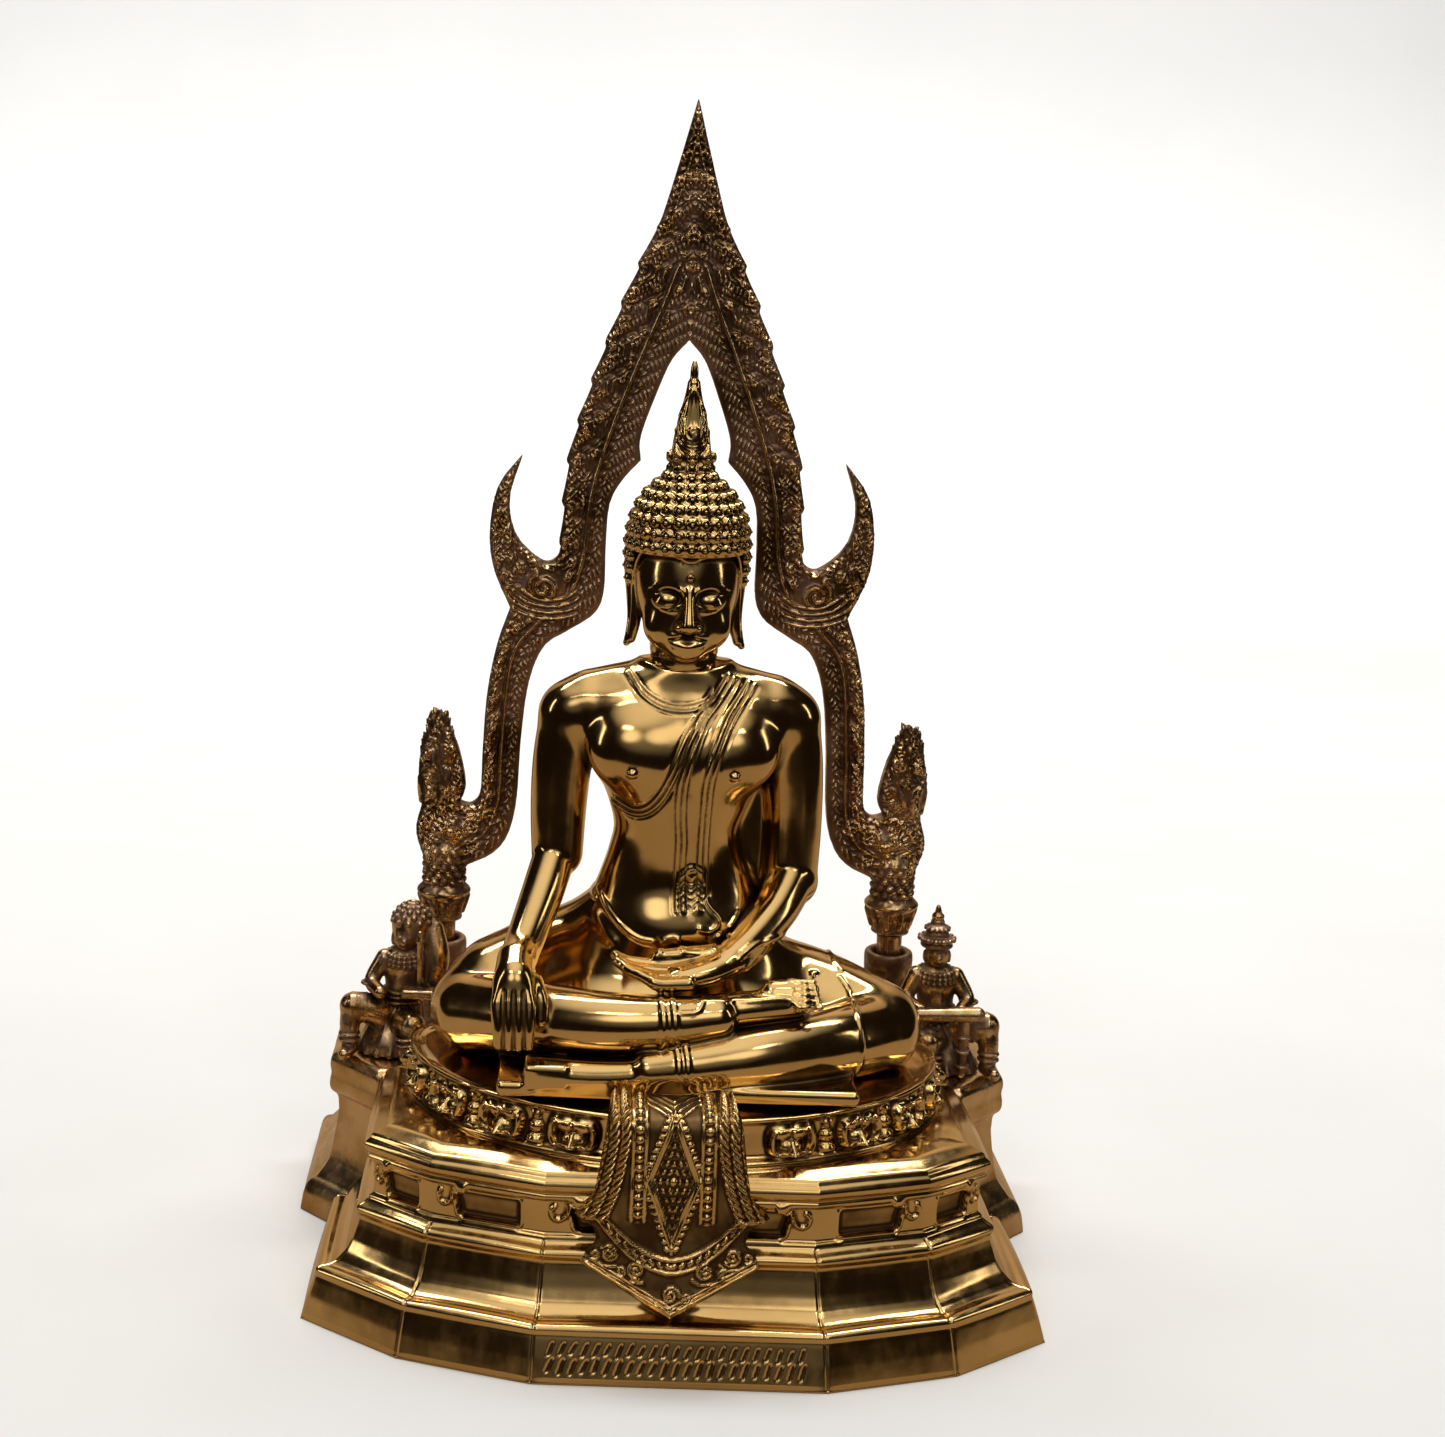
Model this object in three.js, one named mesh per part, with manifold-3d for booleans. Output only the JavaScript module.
// A small cast statue of a seated buddha on a lotus throne, with a flame arch behind it.
// Millimetres, +Z up, the front looks along -Y, and x = 0 is the middle of the object.
import * as THREE from "three";
import { mergeVertices } from "three/addons/utils/BufferGeometryUtils.js";
import Module from "manifold-3d";

const wasm = await Module();
wasm.setup();

// Driving dimensions
const GAP = 0.3; // between pieces that rest on each other
const SEAT_Z = 58; // top of the lotus throne
const FIGURE_X = -1; // the figure sits a little off the middle
const KNEE_X = 53; // middle of a knee
const CAP_Z = 44; // top of the rear plinth
const ARCH_Y = 52; // middle plane of the arch
const ARCH_THICK = 5;
const SOCKET_X = 63;
const SOCKET_TOP = 68;
const SOCKET_FLOOR = 49.5;
const SOCKET_OUTER = 6.8;
const SOCKET_BORE = 4.4;
const PEG_RADIUS = 3.5;

const BRONZE = { color: 0xb8893f, roughness: 0.16, metalness: 1 };
const DARK_BRONZE = { color: 0x5d4327, roughness: 0.42, metalness: 1 };

// A closed geometry as a solid that can be joined and cut
function solid(geometry) {
  const bare = geometry.index ? geometry.toNonIndexed() : geometry.clone();
  bare.deleteAttribute("normal");
  bare.deleteAttribute("uv");
  const merged = mergeVertices(bare, 1e-4);
  const made = new wasm.Manifold(
    new wasm.Mesh({
      numProp: 3,
      vertProperties: merged.attributes.position.array,
      triVerts: new Uint32Array(merged.index.array),
    }),
  );
  return made;
}

function join(solids) {
  return solids.reduce((sum, next) => sum.add(next));
}

// A mesh node from a joined solid
function piece(name, body, look) {
  const mesh = body.getMesh();
  const geometry = new THREE.BufferGeometry();
  geometry.setAttribute("position", new THREE.BufferAttribute(new Float32Array(mesh.vertProperties), 3));
  geometry.setIndex(new THREE.BufferAttribute(new Uint32Array(mesh.triVerts), 1));
  geometry.computeVertexNormals();
  const made = new THREE.Mesh(geometry, new THREE.MeshStandardMaterial(look));
  made.name = name;
  return made;
}

// Rings of equal length, from the first to the last, skinned and capped at both ends
function loft(rings) {
  const count = rings[0].length;
  const positions = [];
  const middle = (ring) =>
    ring.reduce((sum, p) => sum.add(p), new THREE.Vector3()).multiplyScalar(1 / count);
  const triangle = (a, b, c) => positions.push(...a.toArray(), ...b.toArray(), ...c.toArray());
  for (let level = 0; level + 1 < rings.length; level += 1) {
    const low = rings[level];
    const high = rings[level + 1];
    for (let i = 0; i < count; i += 1) {
      const next = (i + 1) % count;
      triangle(low[i], low[next], high[next]);
      triangle(low[i], high[next], high[i]);
    }
  }
  const first = middle(rings[0]);
  const last = middle(rings[rings.length - 1]);
  for (let i = 0; i < count; i += 1) {
    const next = (i + 1) % count;
    triangle(rings[0][next], rings[0][i], first);
    triangle(rings[rings.length - 1][i], rings[rings.length - 1][next], last);
  }
  const geometry = new THREE.BufferGeometry();
  geometry.setAttribute("position", new THREE.Float32BufferAttribute(positions, 3));
  const made = solid(geometry);
  if (made.volume() > 0) return made;
  return loft(rings.map((ring) => [...ring].reverse()));
}

// A level ellipse: middle, half width in x, half depth in y
function level(x, y, z, halfWidth, halfDepth, count = 14) {
  return Array.from({ length: count }, (_, i) => {
    const angle = (2 * Math.PI * (i + 0.5)) / count;
    return new THREE.Vector3(x + halfWidth * Math.cos(angle), y + halfDepth * Math.sin(angle), z);
  });
}

// A stack of level ellipses, each given as [x, y, z, half width, half depth]
function stack(levels, count = 14) {
  return loft(levels.map(([x, y, z, w, d]) => level(x, y, z, w, d, count)));
}

// A limb through [x, y, z, radius] stations, with rounded ends and an optional flattening in z
function limb(stations, count = 10, flat = 1) {
  const points = stations.map(([x, y, z]) => new THREE.Vector3(x, y, z));
  const rings = [];
  const ringAt = (centre, along, radius) => {
    const side = new THREE.Vector3(0, 0, 1).cross(along);
    if (side.length() < 0.2) side.set(0, 1, 0).cross(along);
    side.normalize();
    const up = along.clone().cross(side).normalize();
    return Array.from({ length: count }, (_, i) => {
      const angle = (2 * Math.PI * i) / count;
      return centre
        .clone()
        .addScaledVector(side, radius * Math.cos(angle))
        .addScaledVector(up, flat * radius * Math.sin(angle));
    });
  };
  points.forEach((p, i) => {
    const before = points[Math.max(0, i - 1)];
    const after = points[Math.min(points.length - 1, i + 1)];
    const along = after.clone().sub(before).normalize();
    const radius = stations[i][3];
    const cap = (reach) => ringAt(p.clone().addScaledVector(along, reach), along, 0.6 * radius);
    if (i === 0) rings.push(cap(-0.7 * radius));
    rings.push(ringAt(p, along, radius));
    if (i === points.length - 1) rings.push(cap(0.7 * radius));
  });
  return loft(rings);
}

function ball(x, y, z, rx, ry, rz, around = 12, down = 8) {
  const geometry = new THREE.SphereGeometry(1, around, down);
  geometry.rotateX(Math.PI / 2);
  geometry.scale(rx, ry, rz);
  geometry.translate(x, y, z);
  return solid(geometry);
}

// A turned shape on a vertical axis: profile points are [radius, z], from axis to axis
function turned(x, y, profile, around = 12) {
  const geometry = new THREE.LatheGeometry(
    profile.map(([r, z]) => new THREE.Vector2(r, z)),
    around,
  );
  geometry.rotateX(Math.PI / 2);
  geometry.translate(x, y, 0);
  const made = solid(geometry);
  if (made.volume() > 0) return made;
  const turnedRound = new THREE.LatheGeometry(
    [...profile].reverse().map(([r, z]) => new THREE.Vector2(r, z)),
    around,
  );
  turnedRound.rotateX(Math.PI / 2);
  turnedRound.translate(x, y, 0);
  return solid(turnedRound);
}

// A flat outline in the x-z plane, made thick along y
function plate(shape, y, thick, curveSegments = 3) {
  const geometry = new THREE.ExtrudeGeometry(shape, { depth: thick, bevelEnabled: false, curveSegments });
  geometry.rotateX(Math.PI / 2);
  geometry.translate(0, y + thick / 2, 0);
  return solid(geometry);
}

function box(x, y, z, sx, sy, sz, turn = 0) {
  const geometry = new THREE.BoxGeometry(sx, sy, sz);
  geometry.rotateZ(turn);
  geometry.translate(x, y, z);
  return solid(geometry);
}

// Points on a smooth curve through a few corners, the last one left out
function through(corners, count) {
  const curve = new THREE.SplineCurve(corners.map(([x, z]) => new THREE.Vector2(x, z)));
  return curve.getPoints(count).slice(0, -1);
}

// Throne
// Right-hand corners of the facets at the floor, from the middle of the front to the side
const FACETS = [
  [34.7, -67.6],
  [66.7, -57.8],
  [91.3, -40],
];
const SIDE_X = 91;
const LOTUS_A = 67.5; // half width of the seat rim
const LOTUS_FRONT = 50; // depth of the rim in front of the middle
const LOTUS_BACK = 27;
const PETAL_DEGREES = [23, 40.5, 58, 77]; // from the front, on each side
const PETAL_Z = 52.3;
const PETAL_TILT = 0.12;
const BEAD_STEP = 0.155; // from a petal to the vase bead after it, in radians
const BAND_INSET = 16.4; // of the band of panels from the floor outline
const BAND_Z = 33;
const CLOTH_X = -2; // middle of the hanging cloth
const CLOTH_LOW = 13.8;
const STROKES = 11;
const STROKE_PITCH = 6;

// The facet corners moved inwards by a distance, as a closed ring with a straight back
function throneRing(inset, z, backY) {
  const front = [[0, FACETS[0][1]], ...FACETS, [SIDE_X, 20]];
  const right = [];
  for (let i = 1; i + 1 < front.length; i += 1) {
    const [a, b, c] = [front[i - 1], front[i], front[i + 1]];
    const along = new THREE.Vector2(b[0] - a[0], b[1] - a[1]).normalize();
    const onward = new THREE.Vector2(c[0] - b[0], c[1] - b[1]).normalize();
    const n1 = new THREE.Vector2(-along.y, along.x);
    const n2 = new THREE.Vector2(-onward.y, onward.x);
    const shift = n1.clone().add(n2).multiplyScalar(1 / (1 + n1.dot(n2)));
    right.push([b[0] + inset * shift.x, b[1] + inset * shift.y]);
  }
  right.push([SIDE_X - inset, backY]);
  const left = right.map(([x, y]) => [-x, y]).reverse();
  return [...right, ...left].map(([x, y]) => new THREE.Vector3(x, y, z));
}

function throneBase() {
  const backLow = 2.4;
  const backHigh = 9.6;
  const profile = [
    [0, 0, backLow],
    [3.2, 10.4, backLow],
    [4.4, 12.4, backLow],
    [6.4, 12.9, backLow],
    [9.4, 13.8, backHigh],
    [11.6, 17, backHigh],
    [13.6, 24.2, backHigh],
    [12.8, 25.6, backHigh],
    [13.6, 27, backHigh],
    [16.4, 28.6, backHigh],
    [16.4, 37.8, backHigh],
    [14.8, 40, backHigh],
    [14.6, 42.6, backHigh],
    [16.2, 44.6, backHigh],
    [19.5, 46.5, backHigh],
  ];
  return loft(profile.map(([inset, z, backY]) => throneRing(inset, z, backY)));
}

// A level of the lotus seat: a half ellipse in front and a flatter one behind
function lotusPoint(angle, scale, z) {
  const depth = Math.sin(angle) < 0 ? LOTUS_FRONT : LOTUS_BACK;
  return new THREE.Vector3(scale * LOTUS_A * Math.cos(angle), scale * depth * Math.sin(angle), z);
}

function lotusBody() {
  const count = 24;
  const profile = [
    [1.02, 44.6],
    [1.05, 45.6],
    [1.02, 47],
    [1, 48.2],
    [0.965, 56.4],
    [1, 57],
    [0.995, SEAT_Z],
  ];
  return loft(
    profile.map(([scale, z]) =>
      Array.from({ length: count }, (_, i) => lotusPoint((2 * Math.PI * i) / count, scale, z)),
    ),
  );
}

function roundedSquare(path, halfWidth, halfHeight, round) {
  path.moveTo(-halfWidth + round, -halfHeight);
  path.lineTo(halfWidth - round, -halfHeight);
  path.quadraticCurveTo(halfWidth, -halfHeight, halfWidth, -halfHeight + round);
  path.lineTo(halfWidth, halfHeight - round);
  path.quadraticCurveTo(halfWidth, halfHeight, halfWidth - round, halfHeight);
  path.lineTo(-halfWidth + round, halfHeight);
  path.quadraticCurveTo(-halfWidth, halfHeight, -halfWidth, halfHeight - round);
  path.lineTo(-halfWidth, -halfHeight + round);
  path.quadraticCurveTo(-halfWidth, -halfHeight, -halfWidth + round, -halfHeight);
  return path;
}

// Petal frames round the front and sides of the seat, with small vase beads between them
function lotusPetals() {
  const petalAngles = PETAL_DEGREES.map((degrees) => THREE.MathUtils.degToRad(degrees));
  const opening = [
    [-4.4, 0],
    [0, 3.3],
    [4.4, 0],
    [0, -3.3],
  ].map(([u, v]) => new THREE.Vector2(u, v));
  const made = [];
  const place = (geometry, angle, out, z) => {
    const at = lotusPoint(angle, 1, z);
    const ahead = lotusPoint(angle + 0.01, 1, z).sub(at);
    geometry.rotateX(Math.PI / 2 - PETAL_TILT);
    geometry.rotateZ(Math.atan2(ahead.y, ahead.x));
    geometry.translate(at.x, at.y, at.z);
    const outward = new THREE.Vector3(ahead.y, -ahead.x, 0).normalize().multiplyScalar(out);
    geometry.translate(outward.x, outward.y, 0);
    return solid(geometry);
  };
  for (const side of [-1, 1]) {
    for (const fromFront of petalAngles) {
      const frame = roundedSquare(new THREE.Shape(), 6.1, 4.9, 3);
      frame.holes.push(new THREE.Path(opening));
      const thick = { depth: 3.4, bevelEnabled: false, curveSegments: 1 };
      const geometry = new THREE.ExtrudeGeometry(frame, thick);
      const angle = -Math.PI / 2 + side * fromFront;
      made.push(place(geometry, angle, -1.2, PETAL_Z));
      const bead = new THREE.SphereGeometry(1, 5, 3);
      bead.scale(1.7, 3.4, 2);
      made.push(place(bead, angle + side * BEAD_STEP, 0.4, PETAL_Z - 1.7));
    }
  }
  return join(made);
}

// Sunk panels on the facets of the band below the seat
function bandPanels() {
  const cuts = [];
  for (const side of [-1, 1]) {
    for (let i = 0; i + 1 < FACETS.length; i += 1) {
      const [a, b] = [FACETS[i], FACETS[i + 1]];
      const angle = Math.atan2(b[1] - a[1], b[0] - a[0]);
      const length = Math.hypot(b[0] - a[0], b[1] - a[1]) - 13;
      const x = (a[0] + b[0]) / 2 - BAND_INSET * Math.sin(angle);
      const y = (a[1] + b[1]) / 2 + BAND_INSET * Math.cos(angle);
      cuts.push(box(side * x, y, BAND_Z, length, 2.6, 6.4, side * angle));
    }
  }
  return join(cuts);
}

// A carved cloth that hangs over the front of the throne and ends in a point
function hangingCloth() {
  const front = [
    [-46, 58],
    [-54.2, 57.2],
    [-54.8, 46],
    [-56.2, 42],
    [-55.4, 34],
    [-56.6, 27],
    [-58.5, 20],
    [-61.2, 15],
    [-59, CLOTH_LOW],
    [-44, CLOTH_LOW],
  ];
  const wide = 60;
  const profile = new THREE.Shape(front.map(([y, z]) => new THREE.Vector2(y, z)));
  const sheet = new THREE.ExtrudeGeometry(profile, { depth: wide, bevelEnabled: false });
  // The profile is drawn in y and z, and its thickness runs along x
  const turn = new THREE.Matrix4().set(0, 0, 1, -wide / 2, 1, 0, 0, 0, 0, 1, 0, 0, 0, 0, 0, 1);
  sheet.applyMatrix4(turn);
  const halfWidths = [
    [16.5, 59],
    [17.2, 50],
    [18.5, 42],
    [22.5, 36.5],
    [19.5, 33.5],
    [21.5, 26.5],
    [0, 14.2],
  ];
  const right = halfWidths.map(([x, z]) => new THREE.Vector2(CLOTH_X + x, z));
  const left = halfWidths
    .slice(0, -1)
    .map(([x, z]) => new THREE.Vector2(CLOTH_X - x, z))
    .reverse();
  const outline = new THREE.Shape([...right, ...left]);
  return solid(sheet).intersect(plate(outline, -52, 30));
}

// Shallow strokes cut in the front facet, long and short in turn
function strokes() {
  const cuts = [];
  for (let i = 0; i < STROKES; i += 1) {
    const x = (i - (STROKES - 1) / 2) * STROKE_PITCH;
    const [z, height] = i % 2 ? [7.6, 2.4] : [6.4, 4.6];
    cuts.push(box(x, -66.4, z, 0.7, 2, height));
  }
  return join(cuts);
}

function lotusThrone() {
  const base = throneBase().subtract(bandPanels()).subtract(strokes());
  return join([base, lotusBody(), lotusPetals(), hangingCloth()]);
}

// Rear plinth with the two sockets for the arch
const PLINTH_X = 90.4;
const PLINTH_FRONT = 10.9;
const PLINTH_BACK = 59.6;
const PLINTH_CHAMFER = 13;

function plinthRing(out, z) {
  const cut = PLINTH_CHAMFER + out * (2 - Math.SQRT2);
  const x = PLINTH_X + out;
  const front = PLINTH_FRONT - out;
  const back = PLINTH_BACK + (out > 0 ? out : 0.4 * out);
  const half = [
    [x - cut, front],
    [x, front + cut],
    [x, back],
  ];
  const other = half.map(([px, py]) => [-px, py]).reverse();
  return [...half, ...other].map(([px, py]) => new THREE.Vector3(px, py, z));
}

function rearPlinth() {
  const profile = [
    [8, 0],
    [7, 5],
    [4.8, 8.6],
    [3.4, 9.4],
    [0.8, 12.8],
    [-0.6, 18],
    [-1.4, 26],
    [-1.2, 31.6],
    [0.1, 33],
    [0.2, 42.8],
    [-0.6, CAP_Z],
  ];
  const block = loft(profile.map(([out, z]) => plinthRing(out, z)));
  const tubes = [-1, 1].map((side) =>
    turned(side * SOCKET_X, ARCH_Y, [
      [0, CAP_Z - 2],
      [SOCKET_OUTER + 0.6, CAP_Z - 2],
      [SOCKET_OUTER + 0.6, CAP_Z + 1.5],
      [SOCKET_OUTER, CAP_Z + 2],
      [SOCKET_OUTER, SOCKET_TOP - 1],
      [SOCKET_OUTER - 0.5, SOCKET_TOP],
      [0, SOCKET_TOP],
    ]),
  );
  const bores = [-1, 1].map((side) =>
    turned(side * SOCKET_X, ARCH_Y, [
      [0, SOCKET_FLOOR],
      [SOCKET_BORE, SOCKET_FLOOR],
      [SOCKET_BORE, SOCKET_TOP + 2],
      [0, SOCKET_TOP + 2],
    ]),
  );
  return join([block, ...tubes]).subtract(join(bores));
}

// Flame arch
const APEX_Z = 303;
const TEETH = 7; // flame steps on each slope of the arch
const TOOTH_OUT = 1.3;
const SLOPE_LEAVES = 7;
const SPIRE_LEAVES = 3;

// Outline of the right half, as runs of [x, z] corners
const SPIRE = [
  [0, APEX_Z],
  [4.1, 287.3],
  [8.6, 271.5],
  [10.3, 267.6],
];
const SLOPE = [
  [10.3, 267.6],
  [18, 248.6],
  [25.2, 229],
  [31, 209],
  [32.6, 196],
  [33.4, 180],
];
const HORN_INSIDE = [
  [33.4, 177],
  [38.2, 176],
  [45.4, 182.6],
  [47.9, 193],
  [44.2, 205.5],
];
const HORN_OUTSIDE = [
  [44.2, 205.5],
  [51.2, 196],
  [53.2, 183],
  [51.4, 172.6],
  [46.6, 162.6],
];
const LEG = [
  [46.6, 162.6],
  [50, 152],
  [52.6, 138],
  [53.4, 121],
  [53.6, 110],
  [56, 106.6],
  [59.4, 107.4],
];
const CREST_INSIDE = [
  [59.4, 107.4],
  [58.3, 115],
  [60.8, 125],
  [65.4, 132.6],
];
const CREST_OUTSIDE = [
  [65.4, 132.6],
  [69.8, 124.6],
  [71.2, 116],
  [69.8, 108],
  [71.4, 99],
  [68.6, 89],
];
const FOOT = [
  [68.6, 89],
  [66.6, 85.6],
  [59.6, 85.6],
];
const INNER_LEG = [
  [56.6, 89],
  [50, 92.3],
  [45.6, 97.8],
  [43.3, 108],
  [42.6, 125],
  [40.9, 141.5],
  [37, 152],
];
const INNER_BEND = [
  [37, 152],
  [30.6, 156.6],
  [23.4, 161.6],
  [20.9, 168],
  [20.8, 180],
  [20.2, 192],
];
const INNER_STEP = [
  [20.2, 192],
  [17, 198.8],
  [11.7, 204.8],
];
const INNER_POINT = [
  [11.7, 204.8],
  [12.5, 211],
  [8.6, 222.4],
  [4.6, 232.2],
  [0, 237.7],
];
// Middle of the rib that follows the inner edge
const RIB_HIGH = [
  [5.5, 252],
  [13, 233],
  [20, 214],
  [25.4, 196],
  [27, 178],
  [31, 166],
  [39, 158],
  [46, 146],
  [48.2, 124],
];
const RIB_LOW = [
  [48.2, 124],
  [48.6, 108],
  [53, 98],
  [60, 94],
];

// The right half of the outline: outer edge downwards, then the inner edge upwards
function archHalf() {
  const slope = new THREE.SplineCurve(SLOPE.map(([x, z]) => new THREE.Vector2(x, z)));
  const flames = [];
  for (let i = 0; i < TEETH; i += 1) {
    for (const [step, out] of [
      [0, 0],
      [0.9, TOOTH_OUT],
    ]) {
      const t = (i + step) / TEETH;
      const at = slope.getPoint(t);
      const along = slope.getTangent(t);
      flames.push(new THREE.Vector2(at.x - out * along.y, at.y + out * along.x));
    }
  }
  return [
    through(SPIRE, 6),
    flames,
    through(HORN_INSIDE, 6),
    through(HORN_OUTSIDE, 6),
    through(LEG, 8),
    through(CREST_INSIDE, 5),
    through(CREST_OUTSIDE, 7),
    FOOT.map(([x, z]) => new THREE.Vector2(x, z)),
    through(INNER_LEG, 8),
    through(INNER_BEND, 7),
    through(INNER_STEP, 4),
    through(INNER_POINT, 7),
  ].flat();
}

// A turned stem with its peg, as [radius, z]
const STEM = [
  [0, SOCKET_FLOOR + GAP],
  [PEG_RADIUS, SOCKET_FLOOR + GAP],
  [PEG_RADIUS, 72],
  [5.2, 74],
  [4.8, 76],
  [6, 79.6],
  [7.4, 81],
  [7.2, 82.6],
  [5.6, 84],
  [5, 88],
  [5.4, 93],
  [3.4, 97],
  [0, 98],
];

// A raised rib along a run of points in the plane of the arch front
function rib(corners, count, width, rise, front) {
  const curve = new THREE.CatmullRomCurve3(corners.map(([x, z]) => new THREE.Vector3(x, front, z)));
  const rings = [];
  for (let i = 0; i <= count; i += 1) {
    const at = curve.getPoint(i / count);
    const along = curve.getTangent(i / count);
    const side = new THREE.Vector3(-along.z, 0, along.x);
    const half = width * (i === 0 || i === count ? 0.3 : 0.5);
    rings.push([
      at.clone().addScaledVector(side, half).add(new THREE.Vector3(0, 0.6, 0)),
      at.clone().addScaledVector(side, -half).add(new THREE.Vector3(0, 0.6, 0)),
      at.clone().add(new THREE.Vector3(0, -rise, 0)),
    ]);
  }
  return loft(rings);
}

// A carved leaf that lies on the arch front
function leaf(x, z, length, width, angle, front) {
  const geometry = new THREE.OctahedronGeometry(1);
  geometry.scale(width / 2, 1.1, length / 2);
  geometry.rotateY(-angle);
  geometry.translate(x, front, z);
  return solid(geometry);
}

function flameArch() {
  const half = archHalf();
  const outline = new THREE.Shape([
    ...half,
    ...half
      .slice(1)
      .reverse()
      .map((p) => new THREE.Vector2(-p.x, p.y)),
  ]);
  const pieces = [plate(outline, ARCH_Y, ARCH_THICK)];
  const front = ARCH_Y - ARCH_THICK / 2;
  for (const side of [-1, 1]) {
    const mirrored = (corners) => corners.map(([x, z]) => [side * x, z]);
    pieces.push(rib(mirrored(RIB_HIGH), 12, 2.4, 1, front));
    pieces.push(rib(mirrored(RIB_LOW), 5, 2.4, 1, front));
    for (let i = 0; i < SLOPE_LEAVES; i += 1) {
      const t = i / (SLOPE_LEAVES - 1);
      const x = THREE.MathUtils.lerp(11, 29.6, t);
      const z = THREE.MathUtils.lerp(257, 190, t) + 6 * Math.sin(Math.PI * t);
      pieces.push(leaf(side * x, z, 11, 4, side * 0.62, front));
    }
    for (let i = 0; i < SPIRE_LEAVES; i += 1) {
      pieces.push(leaf(side * (3.8 + 1.4 * i), 282 - 11 * i, 11, 2.6, side * 0.3, front));
      pieces.push(leaf(side * 65, 113.5 + 5 * i, 8 - i, 7.5 - 1.8 * i, 0, front));
    }
    const volute = new THREE.SphereGeometry(1, 8, 4);
    volute.rotateX(Math.PI / 2);
    volute.scale(4.6, 1.9, 4.6);
    volute.translate(side * 37.8, front, 168.4);
    pieces.push(solid(volute));
    pieces.push(turned(side * SOCKET_X, ARCH_Y, STEM, 8));
  }
  return join(pieces);
}

// Seated figure
function torso() {
  const x = FIGURE_X;
  return stack([
    [x, 0, 62, 34, 21],
    [x, 0, 78, 31, 19],
    [x - 0.4, -1, 90, 25, 17.5],
    [x - 0.7, -1, 100, 20, 15.5],
    [x - 0.7, -1, 112, 16, 13],
    [x - 0.4, -1, 124, 19.5, 14],
    [x, -1, 134, 24, 15],
    [x, 0, 143, 28.5, 13.5],
    [x, 1.5, 149.6, 30, 11.5],
    [x, 2, 153.4, 25, 10],
    [x, 2, 157, 15.5, 9],
    [x, 1.5, 160.6, 9.6, 8.6],
    [x, 0, 170, 9, 9],
  ], 12);
}

function head() {
  const x = FIGURE_X - 0.3;
  const face = stack([
    [x, -8, 162.4, 4, 4],
    [x, -5, 165, 9, 10],
    [x, -2, 170, 12, 14],
    [x, 0, 178, 13.6, 16],
    [x, 0.5, 186, 13.8, 16],
    [x, 1, 193, 12.5, 15],
  ], 10);
  const nose = loft([
    level(x, -14.6, 182, 0.9, 1, 6),
    level(x, -17.6, 174.6, 2.3, 2, 6),
    level(x, -16.4, 173.4, 1.6, 1.4, 6),
  ]);
  const hairLevels = [
    [3.4, 176, 14, 14],
    [2.8, 182, 15.4, 15.4],
    [2, 187.6, 16.2, 17],
    [1.6, 192.4, 15.4, 16.8],
    [1.6, 196.8, 13.4, 14.6],
    [1.8, 200.6, 10, 10.8],
    [2, 204, 6.6, 7.2],
    [2, 208.5, 4.6, 4.8],
  ];
  // Alternate corners stand out and in, so that the rows read as rows of curls
  const hair = loft(
    hairLevels.map(([y, z, w, d], row) =>
      level(x, y, z, 1, 1, 16).map((p, i) => {
        const swell = (i + row) % 2 ? 0.9 : -0.5;
        return new THREE.Vector3(x + (w + swell) * (p.x - x), y + (d + swell) * (p.y - y), z);
      }),
    ),
  );
  const flame = stack([
    [x, 2, 207.5, 5.4, 5.2],
    [x, 2, 213, 5.6, 5.2],
    [x, 2, 220.5, 4.2, 4],
    [x, 2, 227, 2.6, 2.6],
    [x, 2, 231, 1.5, 1.5],
    [x, 2, 233.6, 0.5, 0.5],
  ], 7);
  const faceCut = box(x, -17, 178.4, 27, 15, 23);
  const ears = [-1, 1].map((side) =>
    limb(
      [
        [x + side * 15.2, 1, 186, 2.2],
        [x + side * 14.8, 0.4, 176, 1.9],
        [x + side * 13.8, 0, 167.5, 1.5],
        [x + side * 15, -0.4, 163.6, 1.3],
      ],
      5,
    ),
  );
  return join([face, nose, hair.subtract(faceCut), flame, ...ears]);
}

// Limbs are runs of [x, y, z, radius]; the figure's own right side has negative x
const RIGHT_THIGH = [
  [-20, 6, 73, 14],
  [-38, 2, 70, 13],
  [-KNEE_X, -4, 66.6, 10.6],
];
const LEFT_THIGH = [
  [20, 6, 73, 14],
  [38, 2, 70, 13],
  [KNEE_X, -4, 65.4, 10.6],
];
const UPPER_SHIN = [
  [-KNEE_X + 3, -12, 68, 9.5],
  [-30, -27, 73, 8],
  [-4, -32, 74.6, 6.2],
  [16, -30, 77.4, 5.4],
];
const LOWER_SHIN = [
  [KNEE_X - 3, -12, 65.6, 9.6],
  [32, -26, 66.4, 9],
  [8, -34, 66, 7.4],
  [-6, -36, 65, 5.6],
];
const UPPER_FOOT = [
  [14, -28, 79, 4.6],
  [26, -26, 80.4, 4.8],
  [34, -25, 81.4, 3.6],
];
const LOWER_FOOT = [
  [-4, -36, 64, 4.6],
  [-20, -37, 62.6, 4.6],
  [-34, -37.4, 62, 4.2],
];
const RIGHT_ARM = [
  [-29.6, 1.5, 143, 8.4],
  [-31, 2, 132, 7.6],
  [-32, 2, 118, 7],
  [-32.4, 1, 106, 6.8],
];
const RIGHT_FOREARM = [
  [-32.6, 0, 106, 6.6],
  [-36.6, -11, 97, 6],
  [-39.8, -19, 89, 4.8],
  [-40.6, -23, 85, 4.6],
];
const RIGHT_PALM = [
  [-40.6, -24.6, 84, 4.8],
  [-40.2, -30, 78, 6.2],
  [-39.8, -33, 73, 5.6],
];
const RIGHT_THUMB = [
  [-35, -28, 81, 2],
  [-33.6, -33, 75, 1.6],
];
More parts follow.
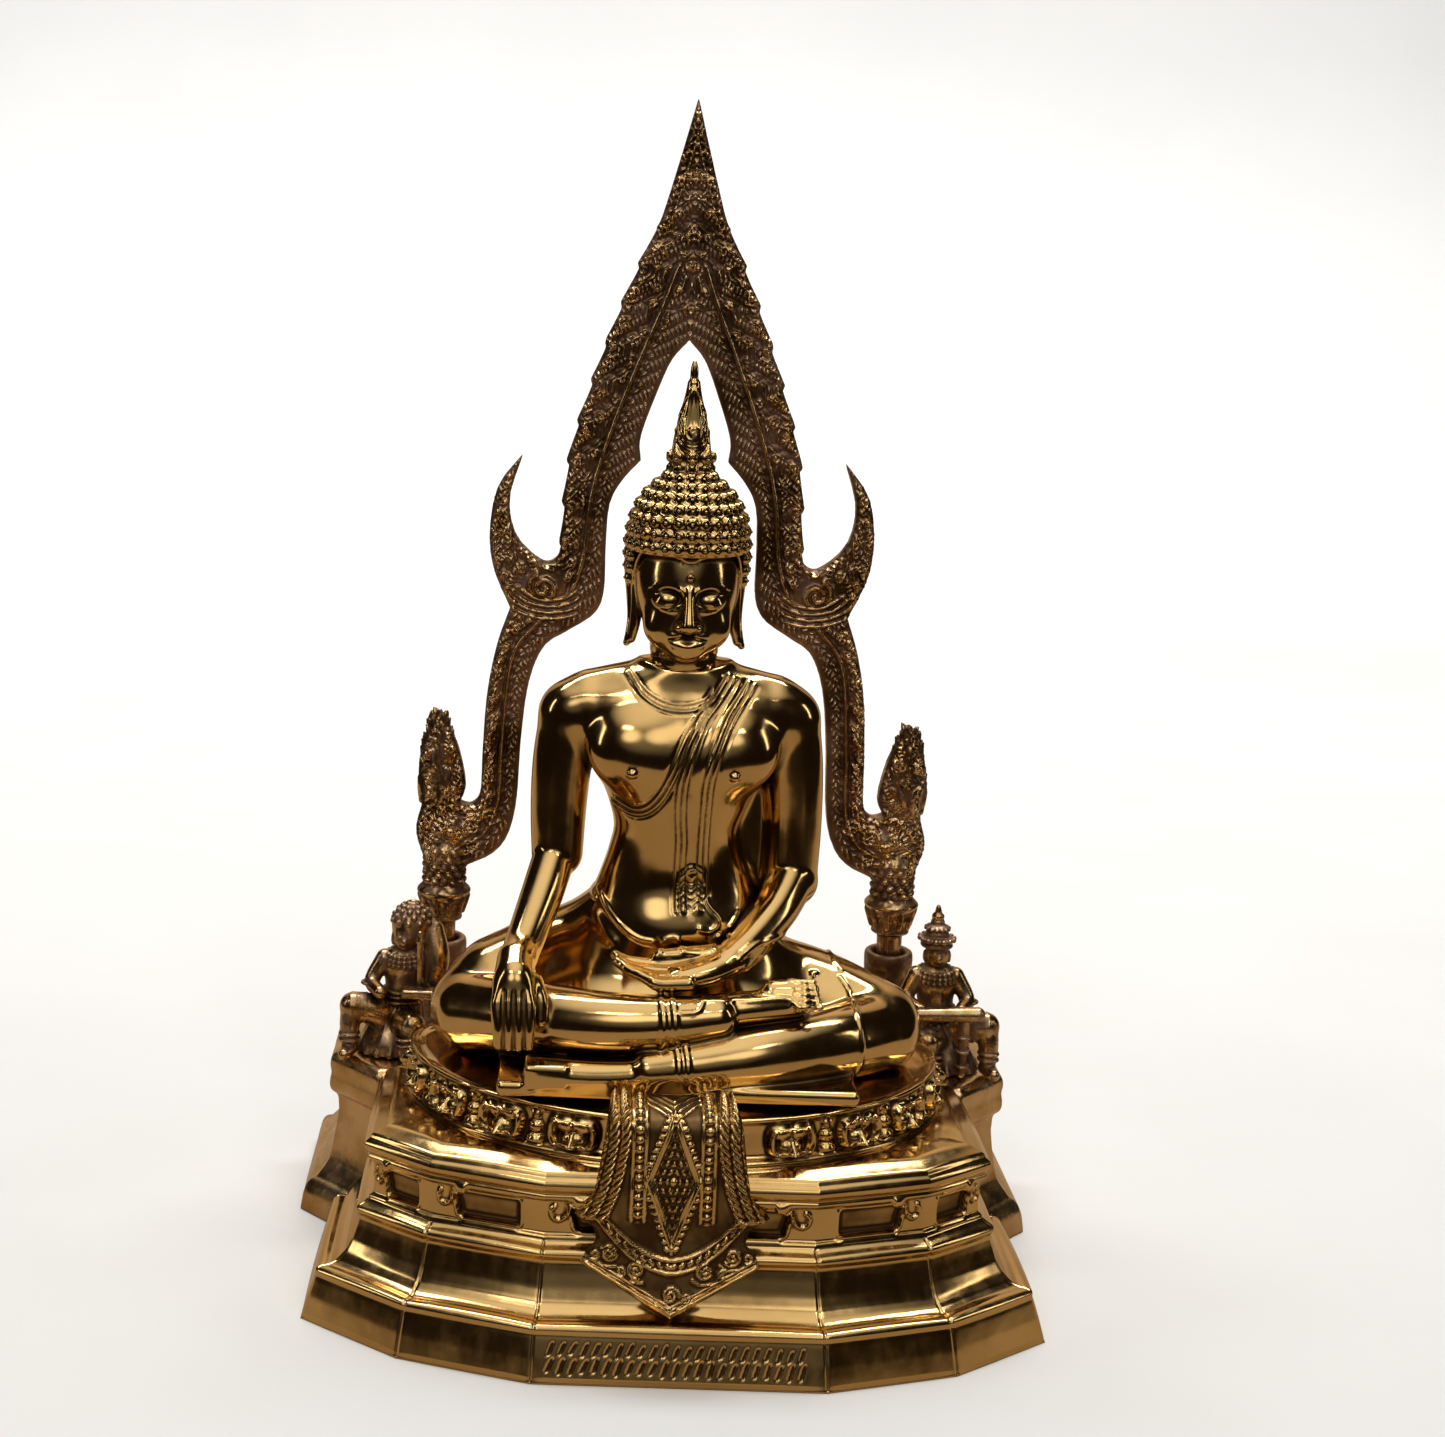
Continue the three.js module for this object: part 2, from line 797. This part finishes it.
const LEFT_ARM = [
  [27, 1.5, 143, 8.4],
  [28.4, 2.4, 132, 7.6],
  [29, 3, 118, 7],
  [28.6, 3, 104, 6.6],
];
const LEFT_FOREARM = [
  [28.4, 1, 103, 6.4],
  [22, -10, 96, 5.8],
  [14, -18, 89.6, 4.8],
  [10, -21, 87, 4.4],
];
const LEFT_PALM = [
  [9, -23, 85.4, 5],
  [0, -26, 84, 5.2],
  [-6, -27, 83.4, 4.6],
];
const LEFT_THUMB = [
  [6, -21, 87.4, 2],
  [-5, -21, 88.2, 1.5],
];
const FINGERS = 4;

function legs() {
  const x = FIGURE_X;
  const lap = ball(x, -8, 70, 44, 26, 11, 10, 5);
  const drape = stack(
    [
      [x + 2, -4, SEAT_Z + GAP, 50, 37],
      [x + 2, -4, 62, 52, 37.4],
      [x + 1, -3, 66, 54, 33],
    ],
    12,
  );
  const toes = [0, 1].map((i) =>
    limb(
      [
        [30 + 2.4 * i, -27.4, 83.6 - 3 * i, 0.9],
        [35 + 1.2 * i, -27.6, 83.8 - 3 * i, 0.9],
      ],
      4,
    ),
  );
  const limbs = [RIGHT_THIGH, LEFT_THIGH, UPPER_SHIN, LOWER_SHIN].map((run) => limb(run, 8));
  const feet = [UPPER_FOOT, LOWER_FOOT].map((run) => limb(run, 6, 0.8));
  return join([...limbs, ...feet, lap, drape, ...toes]);
}

function arms() {
  const limbs = [RIGHT_ARM, RIGHT_FOREARM, LEFT_ARM, LEFT_FOREARM].map((run) => limb(run, 6));
  const hands = [
    limb(RIGHT_PALM, 6, 0.75),
    limb(RIGHT_THUMB, 4),
    limb(LEFT_PALM, 6, 0.6),
    limb(LEFT_THUMB, 4),
  ];
  for (let i = 0; i < FINGERS; i += 1) {
    const x = -44 + 2.7 * i;
    const down = [
      [x, -34.4, 76, 1.7],
      [x + 0.5, -36.8, 67.6, 1.5],
    ];
    const across = [
      [-4, -30.6 + 2.6 * i, 84.4, 1.6],
      [-14.5, -29.4 + 2.3 * i, 84.8, 1.3],
    ];
    hands.push(limb(down, 4), limb(across, 4));
  }
  const robeWall = box(19, 5, 113, 18, 4, 46);
  return join([...limbs, ...hands, robeWall]);
}

// The folded sash, the robe's edge across the chest and the waistband
function robe() {
  const x = FIGURE_X;
  const sash = [
    [x + 13, -9, 154, 2.4],
    [x + 9, -14.4, 144, 3],
    [x + 4, -16, 130, 3],
    [x + 2.4, -14.6, 114, 3],
    [x + 2.4, -15.2, 104, 3.2],
  ];
  const edge = [
    [x + 9, -11, 153, 1],
    [x, -15.6, 141, 1],
    [x - 6, -15.6, 129, 1],
    [x - 14, -10.6, 122.5, 1],
  ];
  const waist = [
    [x - 18, -12, 94, 1.2],
    [x - 9, -17.4, 90.4, 1.2],
    [x, -18.4, 88.8, 1.2],
    [x + 9, -17.4, 90.4, 1.2],
  ];
  return join([limb(sash, 6, 0.6), limb(edge, 4), limb(waist, 4)]);
}

function seatedBuddha() {
  const body = join([torso(), head(), legs(), arms(), robe()]);
  const below = 40;
  return body.subtract(box(0, 0, SEAT_Z + GAP - below / 2, 200, 200, below));
}

// Guardians on the wings of the rear plinth
const GUARDIAN_X = 76;
const GUARDIAN_Y = 27;

// Runs of [x, y, z, radius] from the middle of the guardian's foot; x grows away from the throne
const KNEELING = [
  [
    [-1, 0, 8, 4.4],
    [9.4, -5, 13, 3.6],
  ],
  [
    [9.4, -5, 13, 3.2],
    [10, -7, 3, 2.4],
  ],
  [
    [9.6, -6, 1.8, 2],
    [11.4, -10.6, 1.6, 1.8],
  ],
  [
    [-4, -3, 8, 4],
    [-7, -9, 9, 3.2],
    [-5, -9.4, 2, 2.6],
  ],
  [
    [1.6, 1, 25, 2.6],
    [4.6, -1, 19, 2.2],
    [2, -7, 17.6, 2],
  ],
  [
    [-9.2, 1, 25, 2.6],
    [-12, -1, 18.6, 2.2],
    [-9, -7, 17.4, 2],
  ],
];
const KNEELING_TRUNK = [
  [-1, 0, 0, 9.4, 9.4],
  [-1, 0, 4, 8.4, 8.6],
  [-3, 1, 12, 6.2, 6],
  [-3.6, 1, 18, 5, 4.4],
  [-3.8, 0.6, 25, 6.2, 4.8],
  [-3.8, 0.6, 28, 3.4, 3],
];

// Moves rows that start with x, y, z to a guardian's place
function placed(rows, side) {
  return rows.map(([x, y, z, ...sizes]) => [
    side * (GUARDIAN_X + x),
    GUARDIAN_Y + y,
    CAP_Z + GAP + z,
    ...sizes,
  ]);
}

function guardian(side, held) {
  const [[x, y, z]] = placed([[-4, -0.6, 31.4]], side);
  const limbs = [...KNEELING, ...held].map((run) => limb(placed(run, side), 4));
  const trunk = stack(placed(KNEELING_TRUNK, side), 7);
  return join([trunk, ...limbs, ball(x, y, z, 3.4, 3.8, 4.2, 6, 4)]);
}

function guardianLeft() {
  const shield = [
    [-11.4, 1, 33, 3.2],
    [-13, -1, 26, 3.4],
    [-12, -2, 20, 2.6],
  ];
  const rod = [
    [-9.2, -6.6, 31, 0.8],
    [-8.8, -7.4, 16, 0.8],
  ];
  const [[x, y, z]] = placed([[-3.4, 1.4, 33.4]], -1);
  return join([guardian(-1, [shield, rod]), ball(x, y, z, 6.2, 5.6, 6.4, 7, 4)]);
}

function guardianRight() {
  const club = [
    [-9, -10.4, 17.4, 1.8],
    [5.4, -10.6, 18, 2],
  ];
  const staff = [
    [2.6, -9.6, 17, 1.8],
    [2.2, -10.2, 1.2, 1.2],
  ];
  const [[x, y, z]] = placed([[-4.2, 0, 33]], 1);
  const crown = turned(
    x,
    y,
    [
      [0, z],
      [4.6, z + 0.4],
      [4.9, z + 3.6],
      [3, z + 4],
      [3, z + 6],
      [1.7, z + 6.6],
      [1.9, z + 8.6],
      [0.8, z + 10.4],
      [0, z + 11],
    ],
    8,
  );
  return join([guardian(1, [club, staff]), crown]);
}

const group = new THREE.Group();
group.add(piece("lotus_throne", lotusThrone(), BRONZE));
group.add(piece("rear_plinth", rearPlinth(), BRONZE));
group.add(piece("flame_arch", flameArch(), DARK_BRONZE));
group.add(piece("seated_buddha", seatedBuddha(), BRONZE));
group.add(piece("guardian_left", guardianLeft(), DARK_BRONZE));
group.add(piece("guardian_right", guardianRight(), DARK_BRONZE));

export default group;
